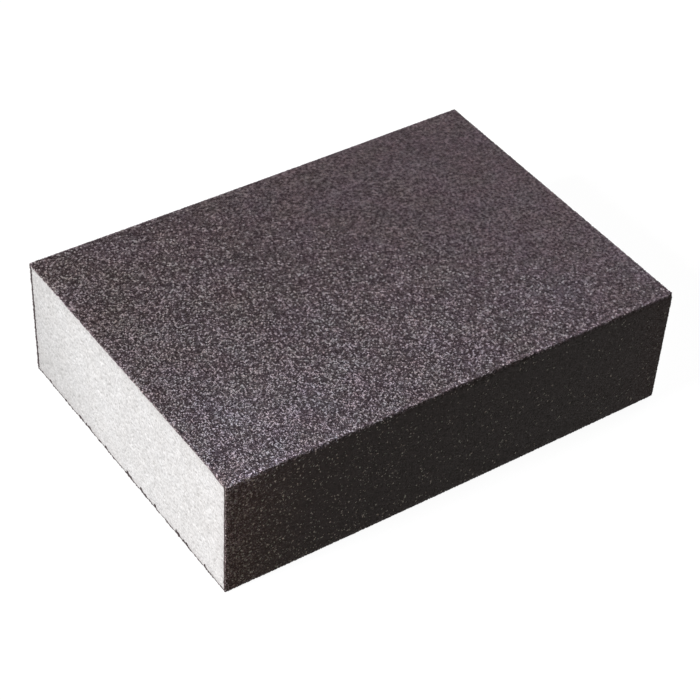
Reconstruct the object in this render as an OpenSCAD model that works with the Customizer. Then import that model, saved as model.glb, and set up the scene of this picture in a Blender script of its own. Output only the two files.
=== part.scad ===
// Sanding sponge: a foam block with an abrasive coating on its four long faces.
// The origin is the centre of the bottom face. +X runs along the block, from
// one bare cut end to the other, +Y runs across its width and +Z points up.

/* [Block] */
// Length of the block between its two cut ends, in millimetres
block_length = 98; // [50:1:200]
// Width of the block over the coating
block_width = 69.4; // [30:0.2:120]
// Height of the block over the coating
block_height = 26.4; // [12:0.2:60]

/* [Coating] */
// Thickness of the resin and grit on each long face
coat_thickness = 0.45; // [0.2:0.05:2]
// Gap between the coating and the foam, none where they are bonded
bond_gap = 0; // [0:0.05:0.3]

/* [Edges] */
// Radius of the foam's four long edges, under the coating
core_edge_radius = 0.15; // [0.05:0.05:3]

/* [Colours] */
// Colour of the bare foam at the cut ends
foam_colour = "gainsboro"; // [gainsboro, white, ivory, khaki]
// Colour of the resin and grit
coat_colour = "#4a4347"; // [#4a4347, #2b2b2b, #6b3f2e]

/* [Hidden] */
$fn = 96;
// The coating lies outside the foam, so the foam takes what the coating leaves
coat_inner_width = block_width - 2 * coat_thickness;
coat_inner_height = block_height - 2 * coat_thickness;
core_width = coat_inner_width - 2 * bond_gap;
core_height = coat_inner_height - 2 * bond_gap;
// One centre serves all the arcs at an edge, so the coating is as thick there
// as it is on the flats
coat_inner_radius = core_edge_radius + bond_gap;
coat_outer_radius = coat_inner_radius + coat_thickness;

// A rectangle with round corners, centred on the origin
module rounded_outline(width, height, radius) {
    centre_x = width / 2 - radius;
    centre_y = height / 2 - radius;
    union() {
        square([width, 2 * centre_y], center = true);
        square([2 * centre_x, height], center = true);
        for (side_x = [-1, 1], side_y = [-1, 1])
            translate([side_x * centre_x, side_y * centre_y])
                circle(r = radius);
    }
}

// The block's cross-section, its children, run from one cut end to the other
module along_block() {
    translate([0, 0, block_height / 2])
        rotate([90, 0, 90])
            linear_extrude(height = block_length, center = true)
                children();
}

// The foam block, with all four long edges eased and both ends cut square
module foam_core() {
    color(foam_colour)
        along_block()
            rounded_outline(core_width, core_height, core_edge_radius);
}

// The coating: one closed sleeve round the four long faces, cut off flush with
// the foam at both ends
module abrasive_coat() {
    color(coat_colour)
        along_block()
            difference() {
                rounded_outline(block_width, block_height, coat_outer_radius);
                rounded_outline(coat_inner_width, coat_inner_height, coat_inner_radius);
            }
}

foam_core();
abrasive_coat();
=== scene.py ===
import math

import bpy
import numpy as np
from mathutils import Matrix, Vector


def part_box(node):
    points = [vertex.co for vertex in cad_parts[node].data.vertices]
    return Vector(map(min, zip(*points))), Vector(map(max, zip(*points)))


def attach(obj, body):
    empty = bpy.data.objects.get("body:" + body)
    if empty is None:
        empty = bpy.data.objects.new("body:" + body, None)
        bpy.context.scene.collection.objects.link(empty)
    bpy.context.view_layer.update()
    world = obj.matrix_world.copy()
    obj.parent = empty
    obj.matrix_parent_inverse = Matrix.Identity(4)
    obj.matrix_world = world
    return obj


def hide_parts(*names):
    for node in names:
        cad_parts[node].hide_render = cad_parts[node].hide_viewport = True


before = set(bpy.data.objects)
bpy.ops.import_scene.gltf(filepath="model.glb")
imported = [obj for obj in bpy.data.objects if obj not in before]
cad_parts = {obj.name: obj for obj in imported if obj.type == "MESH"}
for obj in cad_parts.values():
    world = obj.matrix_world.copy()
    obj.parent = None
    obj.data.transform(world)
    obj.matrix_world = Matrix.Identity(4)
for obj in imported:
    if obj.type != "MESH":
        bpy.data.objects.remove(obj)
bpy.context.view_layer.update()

# A sanding sponge: a white foam block whose four long faces carry a coating of
# dark resin and grit, and whose two cut ends are bare. Lengths are in metres in
# the row's frame: +X along the block, +Y across it, +Z up, with the origin in
# the middle of the face that it lies on.

MM = 0.001
CORE_LOW, CORE_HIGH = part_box("foam_core")
COAT_LOW, COAT_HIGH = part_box("abrasive_coat")
LENGTH, WIDTH, HEIGHT = COAT_HIGH - COAT_LOW
COAT_THICKNESS = COAT_HIGH.y - CORE_HIGH.y
EDGE_RADIUS = 0.35 * MM  # of the coating's four long edges

# ---------------------------------------------------------------- camera

CAMERA_AZIMUTH = math.radians(-36.50)  # of where it stands, from -Y towards +X
CAMERA_ELEVATION = math.radians(40.95)
CAMERA_ROLL = math.radians(3.52)
CAMERA_DISTANCE = 424.6 * MM
CAMERA_LENS = 116.0  # on a sensor 36 wide
AIM = Vector((-2.60, -4.36, 13.0)) * MM


def make_camera():
    """The camera stands on the near left of the block and looks down on it."""
    data = bpy.data.cameras.new("camera")
    data.lens = CAMERA_LENS
    data.sensor_width = 36.0
    data.clip_start = 0.01
    data.clip_end = 20.0
    camera = bpy.data.objects.new("camera", data)
    bpy.context.scene.collection.objects.link(camera)
    flat = math.cos(CAMERA_ELEVATION)
    back = Vector((
        math.sin(CAMERA_AZIMUTH) * flat,
        -math.cos(CAMERA_AZIMUTH) * flat,
        math.sin(CAMERA_ELEVATION),
    ))
    look = (-back).to_track_quat("-Z", "Y").to_matrix().to_4x4()
    roll = Matrix.Rotation(CAMERA_ROLL, 4, "Z")
    place = Matrix.Translation(AIM + back * CAMERA_DISTANCE)
    camera.matrix_world = place @ look @ roll
    bpy.context.scene.camera = camera


make_camera()

# ---------------------------------------------------------------- meshes

SIDE_BOW = 0.21 * MM
BOW_MIDDLE = -35 * MM
END_LEAN = (0.35 * MM, 0.05 * MM)  # at the near end and at the far one
LEAN_SKEW = 0.5  # how much more the near end leans in at the back
TOP_DIP = 0.15 * MM


def lattice(columns, rows):
    """A strip of triangles in rows, each row set half a step from the last.

    Returns the place of each point in steps along and in rows up, the first
    point of each row, and the triangles. Even rows have columns + 1 points and
    odd rows one more, so that both ends of the strip are straight.
    """
    even = np.arange(columns + 1.0)
    odd = np.concatenate([[0.0], np.arange(columns) + 0.5, [columns]])
    rows_of = [even if row % 2 == 0 else odd for row in range(rows + 1)]
    along = np.concatenate(rows_of)
    up = np.repeat(np.arange(rows + 1), [len(row) for row in rows_of])
    start = np.concatenate([[0], np.cumsum([len(row) for row in rows_of])])
    k = np.arange(columns + 1)
    m = np.arange(columns)
    triangles = []
    for row in range(rows):
        low, high = start[row], start[row + 1]
        if row % 2 == 0:
            triangles.append(np.stack([low + k, high + k + 1, high + k], 1))
            triangles.append(np.stack([low + m, low + m + 1, high + m + 1], 1))
        else:
            triangles.append(np.stack([low + k, low + k + 1, high + k], 1))
            triangles.append(np.stack([low + m + 1, high + m + 1, high + m], 1))
    return along, up, start, np.concatenate(triangles)


def build_mesh(name, points, faces, uv, smooth):
    """A mesh object from points, a list of arrays of faces and a place on the
    bake map for each corner of each face."""
    mesh = bpy.data.meshes.new(name)
    sizes = np.concatenate([np.full(len(part), part.shape[1]) for part in faces])
    corners = np.concatenate([part.ravel() for part in faces])
    starts = np.concatenate([[0], np.cumsum(sizes)[:-1]])
    mesh.vertices.add(len(points))
    mesh.vertices.foreach_set("co", points.astype(np.float32).ravel())
    mesh.loops.add(len(corners))
    mesh.loops.foreach_set("vertex_index", corners.astype(np.int32))
    mesh.polygons.add(len(sizes))
    mesh.polygons.foreach_set("loop_start", starts.astype(np.int32))
    mesh.polygons.foreach_set("use_smooth", np.full(len(sizes), smooth))
    layer = mesh.uv_layers.new(name="OFBake")
    layer.uv.foreach_set("vector", uv.astype(np.float32).ravel())
    mesh.update(calc_edges=True)
    piece = bpy.data.objects.new(name, mesh)
    bpy.context.scene.collection.objects.link(piece)
    return piece


def true_form(points):
    """Bends the square block as the cut foam is: its long lower edges bow out
    in the middle, its cut ends lean in at the foot and its top dips at the back.
    Every bend draws points in, so the piece stays within its box."""
    x, y, z = points.T
    low = 1 - z / HEIGHT
    from_middle = (x - BOW_MIDDLE) / (LENGTH / 2)
    near, far = END_LEAN
    lean = np.where(x < 0, near * (1 + LEAN_SKEW * 2 * y / WIDTH), far) * low
    dip = TOP_DIP * (1 - low) * (1 - (2 * x / LENGTH) ** 2) * (0.5 + y / WIDTH)
    return np.stack([
        x * (1 - lean / (LENGTH / 2)),
        y * (1 - SIDE_BOW * low * from_middle ** 2 / (WIDTH / 2)),
        z - dip,
    ], 1)


def add_attribute(piece, name, domain, values):
    """One number for each point or face of a piece, which its material reads."""
    attribute = piece.data.attributes.new(name, "FLOAT", domain)
    attribute.data.foreach_set("value", values.astype(np.float32))


def wave(x, y, pitch, rng, terms=5):
    """A gentle random swell over a surface, from -1 to 1, whose waves are
    about pitch long."""
    total = np.zeros(len(x))
    for _ in range(terms):
        angle = rng.uniform(0, 2 * math.pi)
        length = pitch * rng.uniform(0.7, 1.5)
        across = x * math.cos(angle) + y * math.sin(angle)
        total += np.sin(2 * math.pi * across / length + rng.uniform(0, 2 * math.pi))
    return total / terms


# ---------------------------------------------------------------- coating

GRAIN_PITCH = 0.38 * MM
BASE_STRETCH = 1.8  # how much further apart the rows of grains lie on the base
GRIT_DEPTH = 0.30 * MM  # from the proudest tips down to the resin between grains
RESIN_FILL = 0.88  # share of that depth which resin fills on the two long sides
EDGE_FILL = 0.4  # and which wear takes off at the edges
TIP_HEIGHTS = (0.65, 1.0)  # as shares of the grit's depth
FOOT_HEIGHTS = (0.0, 0.3)
BRIDGED_SHARE = 0.25  # of the points between grains, which smaller ones fill
BRIDGED_HEIGHTS = (0.3, 0.7)
SUNK_SHARE = 0.12  # of the grains, which lie deeper than the rest
SUNK_HEIGHTS = (0.1, 0.4)
TIP_LEAN = (0.30, 0.62)  # how far a grain's tip stands off its middle, in steps
FOOT_SHIFT = 0.22  # how far the points between grains stray, in steps
GRADE_ALONG = 1.2  # how fast the grains change from the near corner to the far
GRADE_ACROSS = 0.82  # one, along the block and across it
GRADE_DRIFT = 0.45  # how much more the grains differ at the near corner
GRADE_EASE = 0.35  # share of their height that they lose by the far corner
PALE_EDGE_SPAN = 0.8 * MM  # width of the paler grains along each edge, paler from wear and painted highlight
PALE_EDGE_REACH = 12 * MM  # how far along the block they are palest
PALE_CUT = 0.4  # how pale the grains are along the near cut end, from wear and painted highlight
PALE_BACK = 0.1  # and along the back edges and the far cut end
DUST_REACH = 7 * MM  # how far foam dust lies on the grit from each cut end
DUST_PALE = 0.05  # how much paler it makes the grains
FAR_DUST = 0.3  # how much of that dust there is at the far end
SIDE_BARE = 0.8  # share of the sides' grains that show through at the near end
EDGE_WRAP = 0.7 * MM  # how far bare grains come over the edges on to the sides
EDGE_DENT = 0.40 * MM  # how far the upper front edge is nibbled in
DENT_PITCH = 1.8 * MM
DEEPEST = 0.40 * MM  # so that the grit never wears through to the foam
EASED_RADIUS = 1.2 * MM  # of the near upper corner, rounder than the rest
EASED_SPAN = 6.0 * MM  # how far along the block that easing lasts
LIP_BASE = 0.47 * MM  # how deep the cut rim reaches over the foam, face by face
LIP_FRONT = 0.60 * MM
LIP_TOP = 0.50 * MM
LIP_BACK = 0.88 * MM
LIP_CORNER = 0.55 * MM  # more where the front meets the top
CORNER_SPAN = 2.5 * MM
LIP_STRAY = 0.16 * MM
LIP_CRUMB = 0.80 * MM  # a crumb of resin that hangs over the foam at the base
CRUMB_SHARE = 0.12  # of the rim's points that carry a crumb
FAR_CRUMBS = 0.35  # how big the crumbs of the far end are beside the near one's
CREST = 0.40 * MM  # how deep the rim has risen to the plane of the cut
LIP_INSET = 0.25 * MM
CUT_FRAY = 0.20 * MM  # how far the cut edge falls short between its grains
RIM_RINGS = 3  # rings of points in a rim: its crest, its lip and its foot behind
COAT_SEED = 11

POINT_STEP = GRAIN_PITCH / math.sqrt(3)
ROW_STEP = POINT_STEP * math.sqrt(0.75)
ARC = math.pi / 2 * EDGE_RADIUS
FLAT_Y = WIDTH - 2 * EDGE_RADIUS
FLAT_Z = HEIGHT - 2 * EDGE_RADIUS
# Round the outline from the middle of the base: base, front, top, back, base
OUTLINE_STEPS = [0, FLAT_Y / 2, ARC, FLAT_Z, ARC, FLAT_Y, ARC, FLAT_Z, ARC, FLAT_Y / 2]
OUTLINE_STOPS = np.cumsum(OUTLINE_STEPS)
OUTLINE_ANGLES = np.radians([-90, -90, -180, -180, -270, -270, -360, -360, -450, -450])
OUTLINE_Y = FLAT_Y / 2 * np.array([0, -1, -1, -1, -1, 1, 1, 1, 1, 0])
OUTLINE_Z = EDGE_RADIUS + FLAT_Z * np.array([0, 0, 0, 1, 1, 1, 1, 0, 0, 0])
ROUND = OUTLINE_STOPS[-1]
COLUMNS = round(LENGTH / POINT_STEP)
BASE_ROWS = round(FLAT_Y / 2 / ROW_STEP / BASE_STRETCH)
OTHER_ROWS = 2 * round((ROUND - FLAT_Y) / ROW_STEP / 2)
ROWS = 2 * BASE_ROWS + OTHER_ROWS
ROW_STOPS = [0, BASE_ROWS, ROWS - BASE_ROWS, ROWS]
ROW_PLACES = [0, FLAT_Y / 2, ROUND - FLAT_Y / 2, ROUND]
RIM_HEIGHTS = [0.2, 0.1, 0.6, 0.1, 0.2]  # how pale the rim is at each face
# How a panel's parts are stacked on its bake map, which is 1 high
BAKE_GRIT = 0.9
BAKE_STRIPS = 0.905
BAKE_STRIP_STEP = 0.010
BAKE_STRIP_TALL = 0.008
BAKE_WALLS = 0.976
BAKE_WALL_STEP = 0.012
BAKE_WALL_TALL = 0.010
BAKE_WALL_BULGE = 0.004


def ease_corner(x, y, z, depth):
    """Draws the upper front edge in to a rounder one near the near end."""
    along = (x + LENGTH / 2) / EASED_SPAN
    radius = EDGE_RADIUS + (EASED_RADIUS - EDGE_RADIUS) * np.exp(-along ** 2)
    from_y = y - (radius - WIDTH / 2)
    from_z = z - (HEIGHT - radius)
    reach = np.maximum(np.hypot(from_y, from_z), 1e-9)
    corner = (from_y < 0) & (from_z > 0)
    pull = np.where(corner, np.minimum((radius - depth) / reach, 1), 1)
    return y + from_y * (pull - 1), z + from_z * (pull - 1)


def on_outline(x, around, depth):
    """Points this far along the block and round it, and this deep under its
    outline."""
    angle = np.interp(around, OUTLINE_STOPS, OUTLINE_ANGLES)
    reach = np.maximum(EDGE_RADIUS - depth, 0)
    y = np.interp(around, OUTLINE_STOPS, OUTLINE_Y) + reach * np.cos(angle)
    z = np.interp(around, OUTLINE_STOPS, OUTLINE_Z) + reach * np.sin(angle)
    y = np.clip(y, depth - WIDTH / 2, WIDTH / 2 - depth)
    z = np.clip(z, depth, HEIGHT - depth)
    y, z = ease_corner(x, y, z, depth)
    return np.stack([x, y, z], 1)


def side_share(around):
    """1 on the two long sides, where resin buries the grit, and 0 on the
    broad faces."""
    stops = OUTLINE_STOPS + EDGE_WRAP * np.array([0, 0, 1, -1, 0, 0, 1, -1, 0, 0])
    return np.interp(around, stops, [0, 0, 1, 1, 0, 0, 1, 1, 0, 0])


def edge_wear_and_highlight(around):
    """1 on the four long edges, falling to 0 a little way off them."""
    middles = OUTLINE_STOPS[1:9:2] + ARC / 2
    gap = np.abs(around[:, None] - middles).min(1)
    return np.exp(-(np.maximum(gap - ARC / 4, 0) / PALE_EDGE_SPAN) ** 2)


def grain_heights(tip, rng):
    """How high each point stands, from 0 to 1. Tips stand proud, some more than
    others, and what lies between is mostly low."""
    count = len(tip)
    tips = rng.uniform(*TIP_HEIGHTS, count)
    height = np.where(tip, tips, rng.uniform(*FOOT_HEIGHTS, count))
    bridged = ~tip & (rng.random(count) < BRIDGED_SHARE)
    height = np.where(bridged, rng.uniform(*BRIDGED_HEIGHTS, count), height)
    sunk = tip & (rng.random(count) < SUNK_SHARE)
    return np.where(sunk, rng.uniform(*SUNK_HEIGHTS, count), height)


def age_sheet(sheet, rng):
    """Adds to each point of the grit its foam dust, the resin that buries it, how
    fine its grains are, its dents at the edges, and how pale its grains are there from wear and
    painted highlight."""
    wear_and_highlight = edge_wear_and_highlight(sheet["around"])
    side = side_share(sheet["around"])
    to_cut = LENGTH / 2 - np.abs(sheet["x"])
    sheet["dust"] = np.exp(-to_cut / DUST_REACH) * np.where(sheet["x"] < 0, 1, FAR_DUST)
    sheet["resin"] = side * (1 - SIDE_BARE * sheet["dust"])
    _, y, z = on_outline(sheet["x"], sheet["around"], 0).T
    from_near = GRADE_ALONG * sheet["x"] / LENGTH + GRADE_ACROSS * y / WIDTH
    sheet["grade"] = np.clip(0.5 + from_near / 2, 0, 1)
    drift = GRADE_DRIFT * from_near * (1 - side)
    cut = np.exp(-(to_cut / PALE_EDGE_SPAN) ** 2)
    near_end = np.exp(-(sheet["x"] + LENGTH / 2) / PALE_EDGE_REACH)
    # painted highlight with the wear: grains are paler along the front edges, most at the near
    # end, and little at the back
    on_edges = np.where(y < 0, 0.5 + 0.5 * near_end, PALE_BACK)
    on_cuts = np.where(sheet["x"] < 0, PALE_CUT, PALE_BACK)
    sheet["wear_and_highlight"] = np.maximum(wear_and_highlight * on_edges, cut * on_cuts)
    paler = DUST_PALE * sheet["dust"]
    sheet["tone"] = np.clip(0.5 + (1 - drift) * (sheet["tone"] - 0.5) + paler, 0, 1)
    ease = GRADE_EASE * sheet["grade"] * (1 - side)
    sheet["relief"] = 1 - np.maximum(RESIN_FILL * sheet["resin"], EDGE_FILL * wear_and_highlight) - ease
    swell = wave(sheet["x"], sheet["around"], DENT_PITCH, rng)
    sheet["dent"] = EDGE_DENT * wear_and_highlight * (y < 0) * (z / HEIGHT) * np.clip(swell, 0, 1)


def grit_sheet():
    """The grit's points on one sheet that wraps round the block, the first
    point of each row, and the triangles. Every third point is a grain's tip."""
    rng = np.random.default_rng(COAT_SEED)
    along, up, start, triangles = lattice(COLUMNS, ROWS)
    count = len(along)
    is_end = (along == 0) | (along == COLUMNS)
    tip = (np.floor(along).astype(int) - up // 2 - up) % 3 == 0
    height = grain_heights(tip, rng)
    lean = rng.uniform(*TIP_LEAN, count)
    shift = np.where(is_end, 0, np.where(tip, lean, FOOT_SHIFT * rng.random(count)))
    turn = rng.uniform(0, 2 * math.pi, count)
    sheet = {
        "x": (along + shift * np.cos(turn)) / COLUMNS * LENGTH - LENGTH / 2,
        "around": np.interp(up + shift * np.sin(turn), ROW_STOPS, ROW_PLACES),
        "height": height,
        "tone": rng.random(count),
        "hue": rng.random(count),
    }
    fray = CUT_FRAY * rng.random((2, ROWS + 1)) ** 1.5
    sheet["x"][start[:-1]] += fray[0]
    sheet["x"][start[1:] - 1] -= fray[1] / 2
    first = slice(start[0], start[1])
    last = slice(start[ROWS], start[ROWS + 1])
    for values in sheet.values():  # the last row is the first one again
        values[last] = values[first]
    sheet["around"][last] += ROUND
    age_sheet(sheet, rng)
    return sheet, start, triangles


def lip_depths(rows, crumbs, rng):
    """How deep the cut rim reaches at each row: a ragged line with crumbs."""
    row_around = np.interp(rows, ROW_STOPS, ROW_PLACES)
    faces = [LIP_BASE, LIP_FRONT, LIP_TOP, LIP_BACK, LIP_BASE]
    depth = np.interp(row_around, OUTLINE_STOPS, np.repeat(faces, 2))
    from_corner = (row_around - OUTLINE_STOPS[4]) / CORNER_SPAN
    depth += LIP_CORNER * np.exp(-(from_corner - 0.5) ** 2)
    above_base = np.interp(row_around, OUTLINE_STOPS, [0, 0, 1, 1, 1, 1, 1, 1, 0, 0])
    stray = rng.uniform(-1, 1, len(rows) + 2)
    has_crumb = rng.random(len(rows) + 2) < CRUMB_SHARE
    crumb = np.where(has_crumb, rng.random(len(rows) + 2), 0)
    ragged = LIP_STRAY * (stray[:-2] + stray[1:-1] + stray[2:]) / 2
    spill = rng.random((2, len(rows)))
    heap = crumb[1:-1] + spill[0] * crumb[:-2] + spill[1] * crumb[2:]
    ragged += LIP_CRUMB * crumbs * (1 - above_base) * heap
    return depth + (1 - above_base / 2) * ragged


def rim_rings(near_x, far_x, rows, row_around, rng):
    """The rings of points of the ragged rims at the near and the far end."""
    under = np.full(len(rows), COAT_THICKNESS)
    rims = []
    for side, edge, crumbs in ((-1, near_x, 1), (1, far_x, FAR_CRUMBS)):
        lip = lip_depths(rows, crumbs, rng)
        proud = np.where(lip > COAT_THICKNESS, side * LENGTH / 2, edge)
        rims.append(on_outline(proud, row_around, np.minimum(lip, CREST)))
        rims.append(on_outline(proud, row_around, lip))
        rims.append(on_outline(edge - side * LIP_INSET, row_around, under))
    return rims


def panel_faces(near, far, outer_count):
    """The strips that lead from the grit's near edge over the near rim, along
    the foam and over the far rim to its far edge, and the panel's two walls."""
    places = np.arange(2 * RIM_RINGS * len(near)).reshape(2 * RIM_RINGS, -1)
    near_rim, far_rim = outer_count + places[:RIM_RINGS], outer_count + places[RIM_RINGS:]
    lines = [near, *near_rim, *far_rim[::-1], far]
    strips = [
        np.stack([one[:-1], one[1:], two[1:], two[:-1]], 1)
        for one, two in zip(lines[:-1], lines[1:])
    ]
    low_edge = np.arange(near[0], far[0] + 1)
    high_edge = np.arange(near[-1], far[-1] + 1)
    first_wall = np.concatenate([[line[0] for line in lines[1:-1]], low_edge[::-1]])
    last_wall = np.concatenate([high_edge, [line[-1] for line in lines[-2:0:-1]]])
    return strips, (first_wall, last_wall)


def panel_bake_places(u, v, grit, strips, walls, outer_count):
    """The places of all a panel's corners on its bake map: the grit below, then
    the strips one above another, and the two walls on top."""
    places = [np.stack([u[grit.ravel()], BAKE_GRIT * v[grit.ravel()]], 1)]
    for index, strip in enumerate(strips):
        rise = np.tile([0, 0, BAKE_STRIP_TALL, BAKE_STRIP_TALL], len(strip))
        level = BAKE_STRIPS + BAKE_STRIP_STEP * index + rise
        places.append(np.stack([v[strip.ravel()], level], 1))
    for index, wall in enumerate(walls):
        bulge = BAKE_WALL_BULGE * np.abs(u[wall] - 0.5)
        rise = np.where(wall < outer_count, BAKE_WALL_TALL, 0) + bulge
        places.append(np.stack([u[wall], BAKE_WALLS + BAKE_WALL_STEP * index + rise], 1))
    return np.concatenate(places)


def mark_grains(piece, stretch, grit, other_faces, row_around, rng):
    """Gives the panel's faces and points the numbers that its material reads."""
    proudest = grit[np.arange(len(grit)), stretch["height"][grit].argmax(1)]
    for key in ("tone", "hue"):
        others = rng.uniform(0.1, 0.9, other_faces)
        values = np.concatenate([stretch[key][proudest], others])
        add_attribute(piece, "grain_" + key, "FACE", values)
    rim_height = np.interp(row_around, OUTLINE_STOPS, np.repeat(RIM_HEIGHTS, 2))
    on_rims = {"height": rim_height, "resin": 0.0, "dust": 1.0, "grade": 0.3, "wear_and_highlight": 0.5}
    for key, on_rim in on_rims.items():
        rim_values = np.tile(on_rim + 0 * row_around, 2 * RIM_RINGS)
        values = np.concatenate([stretch[key], rim_values])
        add_attribute(piece, "grain_" + key, "POINT", values)


def coat_panel(name, sheet, start, triangles, first, last, rng):
    """One closed stretch of the coating, from one row of the sheet to another:
    grit outside, a ragged rim at each end and a smooth back on the foam."""
    begin, end = start[first], start[last + 1]
    inside = (triangles.min(1) >= begin) & (triangles.max(1) < end)
    grit = triangles[inside] - begin
    stretch = {key: values[begin:end].copy() for key, values in sheet.items()}
    x, around = stretch["x"], stretch["around"]
    rows = np.arange(first, last + 1)
    row_around = np.interp(rows, ROW_STOPS, ROW_PLACES)
    # The two outer rows are where the next stretch begins, so they lie straight
    for row, place in ((first, row_around[0]), (last, row_around[-1])):
        around[start[row] - begin : start[row + 1] - begin] = place
    depth = GRIT_DEPTH * stretch["relief"] * (1 - stretch["height"]) + stretch["dent"]
    outer = on_outline(x, around, np.minimum(depth, DEEPEST))

    near = start[first : last + 1] - begin
    far = start[first + 1 : last + 2] - begin - 1
    rims = rim_rings(x[near], x[far], rows, row_around, rng)
    points = np.concatenate([outer, *rims])
    strips, walls = panel_faces(near, far, len(outer))
    faces = [grit, *strips, *(wall[None] for wall in walls)]

    u = points[:, 0] / LENGTH + 0.5
    span = around.max() - around.min()
    v = (np.concatenate([around, *len(rims) * [row_around]]) - around.min()) / span
    uv = panel_bake_places(u, v, grit, strips, walls, len(outer))
    piece = build_mesh(name, true_form(points), faces, uv, False)
    other_faces = sum(len(part) for part in faces[1:])
    mark_grains(piece, stretch, grit, other_faces, row_around, rng)
    return piece


def make_coat():
    """The whole sleeve, in stretches that share their border rows."""
    sheet, start, triangles = grit_sheet()
    rng = np.random.default_rng(COAT_SEED + 1)
    lower = FLAT_Y / 2 + ARC / 2
    upper = lower + FLAT_Z + ARC
    stretches = (
        ("coat_base_front", 0, lower),
        ("coat_front", lower, upper),
        ("coat_top_front", upper, ROUND / 2),
        ("coat_top_back", ROUND / 2, ROUND - upper),
        ("coat_back", ROUND - upper, ROUND - lower),
        ("coat_base_back", ROUND - lower, ROUND),
    )
    pieces = []
    for name, begin, end in stretches:
        first = round(np.interp(begin, ROW_PLACES, ROW_STOPS))
        last = round(np.interp(end, ROW_PLACES, ROW_STOPS))
        pieces.append(coat_panel(name, sheet, start, triangles, first, last, rng))
    return pieces


# ---------------------------------------------------------------- foam

FOAM_STEP = 0.215 * MM
FOAM_STRAY = 0.35  # how far its points stray, in steps
FOAM_SEED = 5
PORE_PITCH = 0.75 * MM
PORE_SHARE = 0.35  # of the squares of that pitch that hold an open pore
PORE_RADIUS = (0.12, 0.50)  # in pitches
PORE_DEPTH = 0.20 * MM
SMALL_PORES = 0.5  # pitch of the smaller pores beside that of the large ones
SHALLOW = 0.6  # and their depth
FOAM_SETBACK = 0.02 * MM
FOAM_SWELL = 9 * MM  # between the gentle rises of a cut end
EDGE_SHADE_REACH = 0.8 * MM  # how far the painted shade along the foam's edges reaches


def pores(y, z, pitch, rng):
    """How deep in a pore each point lies, from 0 to 1, with one pore of a
    random size and place in each square of the pitch."""
    column = np.floor(y / pitch).astype(int)
    row = np.floor(z / pitch).astype(int)
    column -= column.min() - 1
    row -= row.min() - 1
    shape = (column.max() + 2, row.max() + 2)
    centre_y = rng.random(shape)
    centre_z = rng.random(shape)
    radius = rng.uniform(*PORE_RADIUS, shape) * (rng.random(shape) < PORE_SHARE)
    radius = np.maximum(radius, 1e-6)
    inside_y = y / pitch - np.floor(y / pitch)
    inside_z = z / pitch - np.floor(z / pitch)
    deepest = np.zeros(len(y))
    for step_y in (-1, 0, 1):
        for step_z in (-1, 0, 1):
            cell = (column + step_y, row + step_z)
            gap = np.hypot(
                centre_y[cell] + step_y - inside_y,
                centre_z[cell] + step_z - inside_z,
            )
            deepest = np.maximum(deepest, 1 - gap / radius[cell])
    return deepest


def foam_end(rng, side):
    """The points of one cut end, how deep in a pore each is and how much painted
    shade it has along its edges, the triangles, which face +X, the outline and the bake map's
    places. side is -1 for the near end and 1 for the far one."""
    core_width = CORE_HIGH.y - CORE_LOW.y
    core_height = CORE_HIGH.z - CORE_LOW.z
    columns = round(core_width / FOAM_STEP)
    rows = 2 * round(core_height / (FOAM_STEP * math.sqrt(0.75)) / 2)
    along, up, start, triangles = lattice(columns, rows)
    edge = (along == 0) | (along == columns) | (up == 0) | (up == rows)
    shift = np.where(edge, 0, FOAM_STRAY * rng.random(len(along)) ** 0.5)
    turn = rng.uniform(0, 2 * math.pi, len(along))
    y = (along + shift * np.cos(turn)) / columns - 0.5
    z = (up + shift * np.sin(turn)) / rows - 0.5
    y, z = y * core_width, z * core_height
    large = pores(y, z, PORE_PITCH, rng)
    small = SHALLOW * pores(y, z, SMALL_PORES * PORE_PITCH, rng)
    hole = np.where(edge, 0, np.maximum(large, small))
    swell = wave(y, z, FOAM_SWELL, rng)
    inset = FOAM_SETBACK * (1.5 + swell) + PORE_DEPTH * hole ** 0.8
    x = side * (CORE_HIGH.x - inset)
    points = np.stack([x, y, z + (CORE_HIGH.z + CORE_LOW.z) / 2], 1)
    if side < 0:
        points[:, 1], points[:, 2] = ease_corner(*points.T, COAT_THICKNESS)
    points = true_form(points)
    to_edge = np.minimum(core_width / 2 - np.abs(y), core_height / 2 - np.abs(z))
    edge_shade = np.exp(-to_edge / EDGE_SHADE_REACH)
    left, right = start[:-1], start[1:] - 1
    rim = np.concatenate([
        np.arange(start[0], start[1]),
        right[1:],
        np.arange(start[rows], start[rows + 1] - 1)[::-1],
        left[1:-1][::-1],
    ])
    plan = np.stack([y / core_width + 0.5, z / core_height + 0.5], 1)
    return points, hole, edge_shade, triangles, rim, plan


def make_core():
    """The foam block. Both its ends show, and its sides lie under the coating."""
    rng = np.random.default_rng(FOAM_SEED)
    near, near_hole, near_edge_shade, triangles, rim, near_plan = foam_end(rng, -1)
    far, far_hole, far_edge_shade, _, _, far_plan = foam_end(rng, 1)
    count = len(near)
    after = np.roll(rim, -1)
    sides = np.stack([rim, after, after + count, rim + count], 1)
    faces = [triangles[:, ::-1], triangles + count, sides]
    plan = np.concatenate([near_plan, far_plan])
    uv = [
        plan[faces[0].ravel()] * (1, 0.45),
        plan[faces[1].ravel()] * (1, 0.45) + (0, 0.46),
    ]
    run = np.arange(len(rim))
    band = np.stack([run, run + 1, run + 1, run], 1) / len(rim)
    lift = np.tile([0.93, 0.93, 0.99, 0.99], (len(rim), 1))
    uv.append(np.stack([band.ravel(), lift.ravel()], 1))
    piece = build_mesh("foam_block", np.concatenate([near, far]), faces, np.concatenate(uv), True)
    add_attribute(piece, "pore", "POINT", np.concatenate([near_hole, far_hole]))
    add_attribute(piece, "edge_shade", "POINT", np.concatenate([near_edge_shade, far_edge_shade]))
    return piece


# ---------------------------------------------------------------- materials


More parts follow.
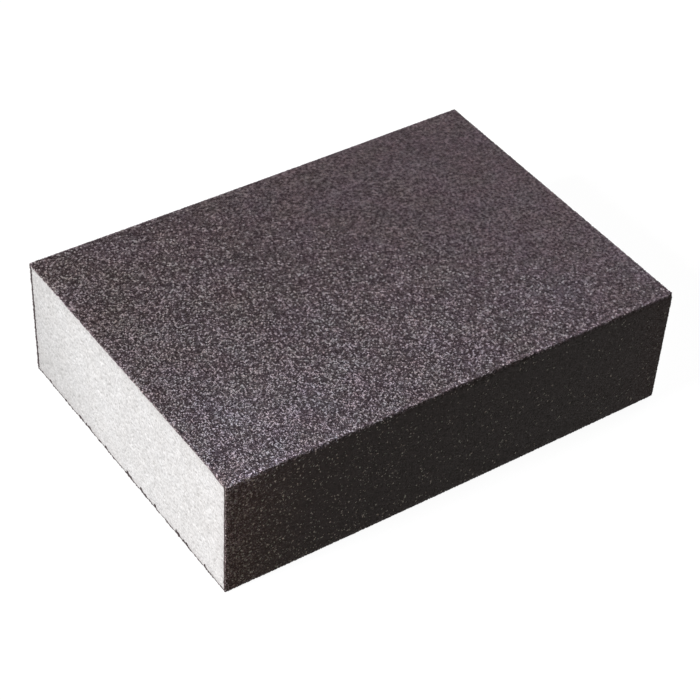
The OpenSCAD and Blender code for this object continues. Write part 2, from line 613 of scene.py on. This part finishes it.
def new_material(name):
    material = bpy.data.materials.new(name)
    material.use_nodes = True
    nodes = material.node_tree.nodes
    return material, nodes, material.node_tree.links, nodes["Principled BSDF"]


def noise(nodes, links, place, pitch, detail=2.0):
    """A noise whose spots are about pitch across."""
    node = nodes.new("ShaderNodeTexNoise")
    node.inputs["Scale"].default_value = 1 / pitch
    node.inputs["Detail"].default_value = detail
    links.new(place, node.inputs["Vector"])
    return node.outputs["Fac"]


def cells(nodes, links, place, pitch):
    """A random value for each of a crowd of cells about pitch across."""
    node = nodes.new("ShaderNodeTexVoronoi")
    node.inputs["Scale"].default_value = 1 / pitch
    links.new(place, node.inputs["Vector"])
    return node.outputs["Color"]


def ramp(nodes, links, value, stops):
    """Colours along a value, as pairs of a position and a colour."""
    node = nodes.new("ShaderNodeValToRGB")
    elements = node.color_ramp.elements
    while len(elements) < len(stops):
        elements.new(0.5)
    for element, (position, colour) in zip(elements, stops):
        element.position = position
        element.color = (*colour, 1.0)
    links.new(value, node.inputs["Fac"])
    return node.outputs["Color"]


def mix(nodes, links, share, low, high, blend="MIX"):
    node = nodes.new("ShaderNodeMix")
    node.data_type = "RGBA"
    node.blend_type = blend
    for socket, value in ((node.inputs[0], share), (node.inputs[6], low), (node.inputs[7], high)):
        if isinstance(value, bpy.types.NodeSocket):
            links.new(value, socket)
        else:
            socket.default_value = value
    return node.outputs[2]


def multiply(nodes, links, low, high):
    return mix(nodes, links, 1.0, low, high, "MULTIPLY")


def grey(level):
    return (level, level, level, 1.0)


def attribute(nodes, name):
    node = nodes.new("ShaderNodeAttribute")
    node.attribute_name = name
    return node.outputs["Fac"]


def spread(nodes, links, value, low, high, new_low, new_high):
    node = nodes.new("ShaderNodeMapRange")
    links.new(value, node.inputs["Value"])
    limits = ("From Min", "From Max", "To Min", "To Max")
    for name, number in zip(limits, (low, high, new_low, new_high)):
        node.inputs[name].default_value = number
    return node.outputs["Result"]


def bump(nodes, links, height, distance, strength=1.0):
    node = nodes.new("ShaderNodeBump")
    node.inputs["Distance"].default_value = distance
    if isinstance(strength, bpy.types.NodeSocket):
        links.new(strength, node.inputs["Strength"])
    else:
        node.inputs["Strength"].default_value = strength
    links.new(height, node.inputs["Height"])
    return node.outputs["Normal"]


CHIP_PITCH = 0.20 * MM  # of the finest chips, finer than the mesh's own grains
CLUSTER_PITCH = 0.55 * MM  # of the coarser clusters towards the far corner
CLUMP_PITCH = 1.3 * MM
SMUDGE_PITCH = 5 * MM
STAIN_PITCH = 4 * MM
PATCH_PITCH = 9 * MM  # of the patches that are more brown or more mauve
SPECK_PITCH = 0.30 * MM  # of the pale grains that show in the sides' resin
SHOAL_PITCH = 2.5 * MM  # of the stretches where those are brighter
ROUGH_PITCH = 0.07 * MM
MIDDLE_TONE = 0.41  # which the grains' tones close in on at the far corner
# the dark resin between grains, deepened by painted shade in the valleys
VALLEY_RESIN_AND_SHADE = (0.040, 0.029, 0.030, 1.0)
GLINT = (0.49, 0.45, 0.46, 1.0)
SPECK = (0.98, 0.93, 0.87, 1.0)
WORN_AND_HIGHLIT = (1.90, 1.90, 1.95, 1.0)  # how much paler the grains along the edges are, from wear and painted highlight
DUSTED = (2.35, 1.60, 1.20, 1.0)  # and how much browner dust makes the resin


def grain_tone(nodes, links, place, tone, chips):
    """How pale each grain is, from 0 to 1. Near the near corner it goes by the
    mesh's grains and fine chips, and farther off by clusters that are more and
    more alike."""
    chip = spread(nodes, links, chips, 0.25, 0.75, 0.0, 1.0)
    clusters = noise(nodes, links, place, CLUSTER_PITCH)
    cluster = spread(nodes, links, clusters, 0.32, 0.68, 0.0, 1.0)
    grade = attribute(nodes, "grain_grade")
    chip_share = spread(nodes, links, grade, 0.0, 0.6, 0.68, 0.2)
    cluster_share = spread(nodes, links, grade, 0.15, 0.75, 0.0, 0.7)
    flat_share = spread(nodes, links, grade, 0.29, 0.85, 0.0, 0.66)
    mixed = mix(nodes, links, chip_share, tone, chip)
    mixed = mix(nodes, links, cluster_share, mixed, cluster)
    mixed = spread(nodes, links, mixed, 0.24, 0.76, 0.0, 1.0)
    return mix(nodes, links, flat_share, mixed, grey(MIDDLE_TONE))


def grain_colour(nodes, links, place, tone, chips):
    """The colour of bare grains, from near black through mauve to pale, with
    dark resin and painted shade between them, glints, and wear with painted highlight along the
    edges."""
    mixed = grain_tone(nodes, links, place, tone, chips)
    brown = ramp(nodes, links, mixed, [
        (0.0, (0.011, 0.007, 0.008)),
        (0.25, (0.046, 0.032, 0.034)),
        (0.5, (0.113, 0.085, 0.087)),
        (0.75, (0.227, 0.182, 0.182)),
        (1.0, (0.538, 0.465, 0.445)),
    ])
    mauve = ramp(nodes, links, mixed, [
        (0.0, (0.011, 0.007, 0.009)),
        (0.25, (0.046, 0.033, 0.042)),
        (0.5, (0.111, 0.087, 0.103)),
        (0.75, (0.221, 0.186, 0.209)),
        (1.0, (0.525, 0.475, 0.505)),
    ])
    grade = attribute(nodes, "grain_grade")
    patches = noise(nodes, links, place, PATCH_PITCH, 4.0)
    patch = spread(nodes, links, patches, 0.3, 0.7, 0.0, 1.0)
    even = spread(nodes, links, grade, 0.0, 1.0, 0.0, 0.6)
    patch = mix(nodes, links, even, patch, grey(0.85))
    grain = mix(nodes, links, patch, brown, mauve)
    smudges = noise(nodes, links, place, SMUDGE_PITCH, 3.0)
    grain = multiply(nodes, links, grain, spread(nodes, links, smudges, 0.3, 0.7, 0.87, 1.05))
    clumps = noise(nodes, links, place, CLUMP_PITCH)
    clump = spread(nodes, links, clumps, 0.3, 0.7, 0.73, 1.28)
    grain = mix(nodes, links, grade, grain, multiply(nodes, links, grain, clump))
    # painted shade with the dark resin: colour darkens from the grains' tips down into the
    # valleys between them
    proud = spread(nodes, links, attribute(nodes, "grain_height"), 0.2, 0.6, 0.0, 1.0)
    level = spread(nodes, links, grade, 0.35, 0.8, 0.0, 0.85)
    proud = mix(nodes, links, level, proud, grey(1.0))
    grain = mix(nodes, links, proud, VALLEY_RESIN_AND_SHADE, grain)
    glint = spread(nodes, links, tone, 0.90, 0.96, 0.0, 0.5)
    farther = spread(nodes, links, grade, 0.15, 0.5, 0.0, 1.0)
    glint = multiply(nodes, links, glint, farther)
    grain = mix(nodes, links, glint, grain, GLINT)
    stain = ramp(nodes, links, noise(nodes, links, place, STAIN_PITCH), [
        (0.35, (0.985, 1.010, 0.985)),
        (0.65, (1.035, 0.980, 1.015)),
    ])
    grain = multiply(nodes, links, grain, stain)
    # paler grains along the edges, from wear and painted highlight
    return mix(nodes, links, attribute(nodes, "grain_wear_and_highlight"), grain, WORN_AND_HIGHLIT, "MULTIPLY")


def side_specks(nodes, links, place, chips):
    """How far a pale grain shows through the sides' resin, at its brightest and
    most often near the cut end."""
    grade = attribute(nodes, "grain_grade")
    specks = cells(nodes, links, place, SPECK_PITCH)
    split = nodes.new("ShaderNodeSeparateColor")
    links.new(specks, split.inputs["Color"])
    sparkle = spread(nodes, links, split.outputs["Blue"], 0.5, 1.0, 0.42, 2.9)
    specks = mix(nodes, links, attribute(nodes, "grain_dust"), specks, grey(0.17), "ADD")
    specks = mix(nodes, links, grade, specks, grey(0.19), "SUBTRACT")
    speck = spread(nodes, links, specks, 0.785, 0.86, 0.0, 1.0)
    facet = spread(nodes, links, chips, 0.15, 0.5, 0.25, 1.0)
    speck = multiply(nodes, links, speck, facet)
    speck = multiply(nodes, links, speck, sparkle)
    shoals = noise(nodes, links, place, SHOAL_PITCH, 1.0)
    return multiply(nodes, links, speck, spread(nodes, links, shoals, 0.35, 0.65, 0.5, 1.2))


def resin_colour(nodes, links, place, tone, chips):
    """The colour of the dark resin that buries the sides' grains."""
    buried = ramp(nodes, links, tone, [
        (0.0, (0.045, 0.035, 0.034)),
        (1.0, (0.055, 0.044, 0.043)),
    ])
    buried = mix(nodes, links, attribute(nodes, "grain_dust"), buried, DUSTED, "MULTIPLY")
    # darker towards the far corner
    darker_farther = spread(nodes, links, attribute(nodes, "grain_grade"), 0.3, 0.6, 1.0, 0.82)
    buried = multiply(nodes, links, buried, darker_farther)
    speck = side_specks(nodes, links, place, chips)
    buried = mix(nodes, links, speck, buried, SPECK)
    flake = spread(nodes, links, chips, 0.2, 0.8, 0.92, 1.08)
    buried = multiply(nodes, links, buried, flake)
    shade = ramp(nodes, links, attribute(nodes, "grain_hue"), [
        (0.0, (1.00, 0.93, 0.90)),
        (0.6, (0.96, 0.96, 0.93)),
        (1.0, (0.91, 0.98, 0.92)),
    ])
    return multiply(nodes, links, buried, shade)


def grit_material():
    """Grit on the broad faces, and dark resin over it on the narrow sides."""
    material, nodes, links, surface = new_material("grit_and_resin")
    place = nodes.new("ShaderNodeTexCoord").outputs["Object"]
    tone = attribute(nodes, "grain_tone")
    hue = attribute(nodes, "grain_hue")
    resin = attribute(nodes, "grain_resin")
    chips = cells(nodes, links, place, CHIP_PITCH)
    grain = grain_colour(nodes, links, place, tone, chips)
    buried = resin_colour(nodes, links, place, tone, chips)
    tint = ramp(nodes, links, hue, [
        (0.0, (1.00, 0.94, 0.90)),
        (0.5, (0.98, 0.97, 0.97)),
        (1.0, (0.95, 0.98, 0.97)),
    ])
    colour = multiply(nodes, links, mix(nodes, links, resin, grain, buried), tint)
    links.new(colour, surface.inputs["Base Color"])
    rough = spread(nodes, links, hue, 0.0, 1.0, 0.32, 0.62)
    links.new(rough, surface.inputs["Roughness"])
    surface.inputs["Specular IOR Level"].default_value = 0.065
    surface.inputs["Specular Tint"].default_value = (1.0, 0.92, 0.88, 1.0)
    fine = noise(nodes, links, place, ROUGH_PITCH)
    crisp = spread(nodes, links, resin, 0.0, 1.0, 1.0, 0.3)
    links.new(bump(nodes, links, fine, 0.012 * MM, crisp), surface.inputs["Normal"])
    return material


FLECKS = (  # pitch, and how dark and how pale the foam is there
    (1.4 * MM, 0.92, 1.07),
    (0.38 * MM, 0.80, 1.19),
)
PIT_PITCH = 0.30 * MM  # of the painted shade in pits too small for the foam's mesh
# painted shade in the pores and pits
PIT_SHADE = (0.46, 0.45, 0.44, 1.0)
# painted shade along the foam's edges
EDGE_SHADE = (0.42, 0.38, 0.37, 1.0)


def foam_material():
    """Fine white foam, with painted shade in its pores, towards its foot at the
    back and along its edges."""
    material, nodes, links, surface = new_material("white_foam")
    place = nodes.new("ShaderNodeTexCoord").outputs["Object"]
    tint = ramp(nodes, links, noise(nodes, links, place, 5 * MM, 3.0), [
        (0.3, (0.805, 0.790, 0.788)),
        (0.7, (0.850, 0.840, 0.846)),
    ])
    for pitch, low, high in FLECKS:
        fleck = spread(nodes, links, noise(nodes, links, place, pitch), 0.3, 0.7, low, high)
        tint = multiply(nodes, links, tint, fleck)
    across = nodes.new("ShaderNodeSeparateXYZ")
    links.new(place, across.inputs[0])
    back_and_down = nodes.new("ShaderNodeMath")
    back_and_down.operation = "MULTIPLY_ADD"
    links.new(across.outputs["Z"], back_and_down.inputs[0])
    back_and_down.inputs[1].default_value = -0.57
    links.new(across.outputs["Y"], back_and_down.inputs[2])
    # painted shade: the cut ends darken towards the back and towards the foot
    painted_shade_back_down = spread(nodes, links, back_and_down.outputs[0], 4 * MM, WIDTH / 2, 1.0, 0.77)
    tint = multiply(nodes, links, tint, painted_shade_back_down)
    # painted shade in pits too small for the mesh
    pits = spread(nodes, links, cells(nodes, links, place, PIT_PITCH), 0.90, 0.95, 0.0, 0.6)
    tint = mix(nodes, links, pits, tint, PIT_SHADE)
    # painted shade along the foam's edges, next to the coating
    stain = spread(nodes, links, attribute(nodes, "edge_shade"), 0.0, 1.0, 0.0, 0.35)
    tint = mix(nodes, links, stain, tint, EDGE_SHADE)
    # painted shade, deepest in the pores
    colour = mix(nodes, links, attribute(nodes, "pore"), tint, PIT_SHADE)
    links.new(colour, surface.inputs["Base Color"])
    surface.inputs["Roughness"].default_value = 0.92
    surface.inputs["Specular IOR Level"].default_value = 0.2
    fine = noise(nodes, links, place, 0.15 * MM, 3.0)
    links.new(bump(nodes, links, fine, 0.04 * MM), surface.inputs["Normal"])
    return material


# ---------------------------------------------------------------- setting

FLOOR_HALF = 3.0
FLOOR_BOUNCE = 0.08  # what the floor gives back to the block
FLOOR_GLOW = 0.95  # how bright it looks by itself
FLOOR_SHARE = 0.11  # and how much of the light on it shows, so that shadows do
WORLD_FILL = 0.10
FILL_COLOUR = (1.0, 0.98, 0.88)
COOL = (0.62, 0.74, 1.0)
WARM = (1.0, 0.82, 0.70)
MIDDLE = (0, 0, HEIGHT / 2)
TOP_EDGE = -21 * MM  # across the block, where the lamps over its front edge aim


def seen_directly(nodes, links):
    """1 for rays that show the floor or backdrop to the eye."""
    path = nodes.new("ShaderNodeLightPath")
    first = nodes.new("ShaderNodeMath")
    first.operation = "MAXIMUM"
    links.new(path.outputs["Is Camera Ray"], first.inputs[0])
    links.new(path.outputs["Is Glossy Ray"], first.inputs[1])
    second = nodes.new("ShaderNodeMath")
    second.operation = "MAXIMUM"
    links.new(first.outputs[0], second.inputs[0])
    links.new(path.outputs["Is Transmission Ray"], second.inputs[1])
    return second.outputs[0]


def make_floor():
    """A white floor that still takes the block's soft shadow."""
    mesh = bpy.data.meshes.new("floor")
    turns = ((-1, -1), (1, -1), (1, 1), (-1, 1))
    corners = [(x * FLOOR_HALF, y * FLOOR_HALF, 0) for x, y in turns]
    mesh.from_pydata(corners, [], [(0, 1, 2, 3)])
    floor = bpy.data.objects.new("floor", mesh)
    bpy.context.scene.collection.objects.link(floor)
    material, nodes, links, surface = new_material("pale_floor")
    seen = seen_directly(nodes, links)
    colour = mix(nodes, links, seen, grey(FLOOR_BOUNCE), grey(FLOOR_SHARE))
    links.new(colour, surface.inputs["Base Color"])
    surface.inputs["Roughness"].default_value = 1.0
    surface.inputs["Specular IOR Level"].default_value = 0.0
    surface.inputs["Emission Color"].default_value = grey(1.0)
    glow = spread(nodes, links, seen, 0.0, 1.0, 0.0, FLOOR_GLOW)
    links.new(glow, surface.inputs["Emission Strength"])
    mesh.materials.append(material)


def make_world():
    """White where it is seen, and a low warm fill for the block."""
    world = bpy.data.worlds.new("studio")
    bpy.context.scene.world = world
    world.use_nodes = True
    nodes, links = world.node_tree.nodes, world.node_tree.links
    background = nodes["Background"]
    seen = seen_directly(nodes, links)
    colour = mix(nodes, links, seen, (*FILL_COLOUR, 1.0), grey(1.0))
    links.new(colour, background.inputs["Color"])
    strength = spread(nodes, links, seen, 0.0, 1.0, WORLD_FILL, 1.0)
    links.new(strength, background.inputs["Strength"])


def soft_lamp(name, place, aim, size, power, colour=(1.0, 1.0, 1.0)):
    """A studio lamp, so long and so wide, that faces a point of the block."""
    data = bpy.data.lights.new(name, "AREA")
    data.shape = "RECTANGLE"
    data.size, data.size_y = size
    data.energy = power
    data.color = colour
    lamp = bpy.data.objects.new(name, data)
    bpy.context.scene.collection.objects.link(lamp)
    towards = Vector(aim) - Vector(place)
    lamp.rotation_euler = towards.to_track_quat("-Z", "Y").to_euler()
    lamp.location = place
    lamp.visible_camera = False


make_floor()
make_world()
soft_lamp("key", (-2.0, 0.15, 1.45), MIDDLE, (0.42, 0.42), 66.5)
soft_lamp("corner", (-0.075, -0.068, 0.025), (-0.045, -0.034, 0.010), (0.02, 0.02), 0.0020, WARM)
soft_lamp("edge", (-0.002, -0.030, 0.050), (-0.002, TOP_EDGE, HEIGHT), (0.11, 0.01), 0.0056, COOL)
soft_lamp("tip", (-0.042, -0.034, 0.046), (-0.042, TOP_EDGE, HEIGHT), (0.02, 0.01), 0.0028, COOL)
soft_lamp("fill", (0.60, 0.15, 0.16), MIDDLE, (0.40, 0.25), 2.3)

# ---------------------------------------------------------------- the sponge

grit = grit_material()
for piece in make_coat():
    piece.data.materials.append(grit)
    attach(piece, "root")
    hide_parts("abrasive_coat")

core = make_core()
core.data.materials.append(foam_material())
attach(core, "root")
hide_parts("foam_core")

bpy.context.scene.view_settings.view_transform = "Standard"
